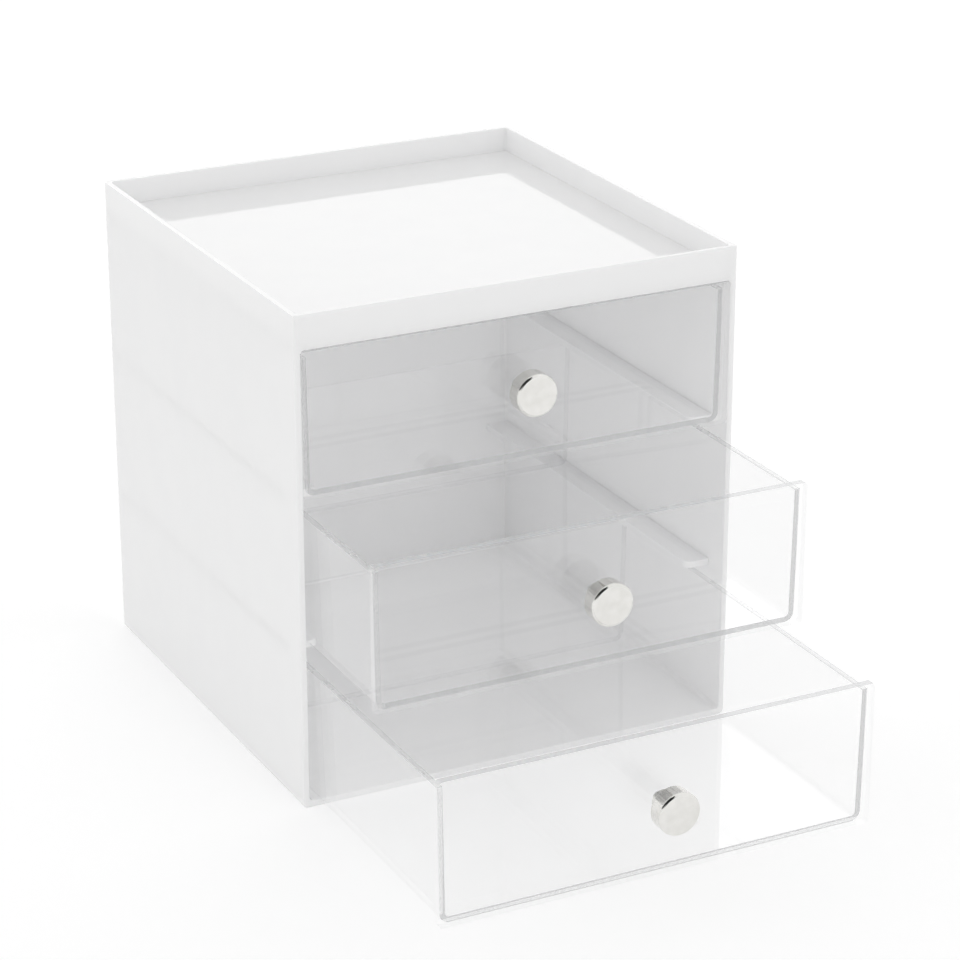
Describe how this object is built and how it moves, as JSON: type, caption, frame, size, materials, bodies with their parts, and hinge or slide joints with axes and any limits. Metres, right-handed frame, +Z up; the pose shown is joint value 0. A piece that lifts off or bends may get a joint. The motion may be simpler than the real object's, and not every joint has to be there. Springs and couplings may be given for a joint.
{
  "type": "desktop drawer organiser",
  "caption": "White box open at the front, with a tray recess on top and clear drawers that slide out by round metal knobs.",
  "frame": {"origin": "centre of the housing's underside", "axes": "+X to the object's right seen from the front, +Y towards its back, +Z up; the drawers slide out along -Y"},
  "size_m": [0.165, 0.28, 0.176],
  "materials": {
    "housing_plastic": "gloss",
    "clear_acrylic": "gloss",
    "knob_chrome": "polished"
  },
  "bodies": {
    "housing": {"housing": "housing_plastic", "runner_top_left": "housing_plastic", "runner_top_right": "housing_plastic", "runner_middle_left": "housing_plastic", "runner_middle_right": "housing_plastic"},
    "drawer_top": {"trough_top": "clear_acrylic", "front_top": "clear_acrylic", "back_top": "clear_acrylic", "knob_top": "knob_chrome"},
    "drawer_middle": {"trough_middle": "clear_acrylic", "front_middle": "clear_acrylic", "back_middle": "clear_acrylic", "knob_middle": "knob_chrome"},
    "drawer_bottom": {"trough_bottom": "clear_acrylic", "front_bottom": "clear_acrylic", "back_bottom": "clear_acrylic", "knob_bottom": "knob_chrome"}
  },
  "joints": [
    {"name": "top_drawer_slide", "type": "slide", "parent": "housing", "child": "drawer_top", "axis": [0, -1, 0], "range_m": [0, 0.125]},
    {"name": "middle_drawer_slide", "type": "slide", "parent": "housing", "child": "drawer_middle", "axis": [0, -1, 0], "range_m": [-0.053, 0.072]},
    {"name": "bottom_drawer_slide", "type": "slide", "parent": "housing", "child": "drawer_bottom", "axis": [0, -1, 0], "range_m": [-0.0985, 0.0265]}
  ]
}
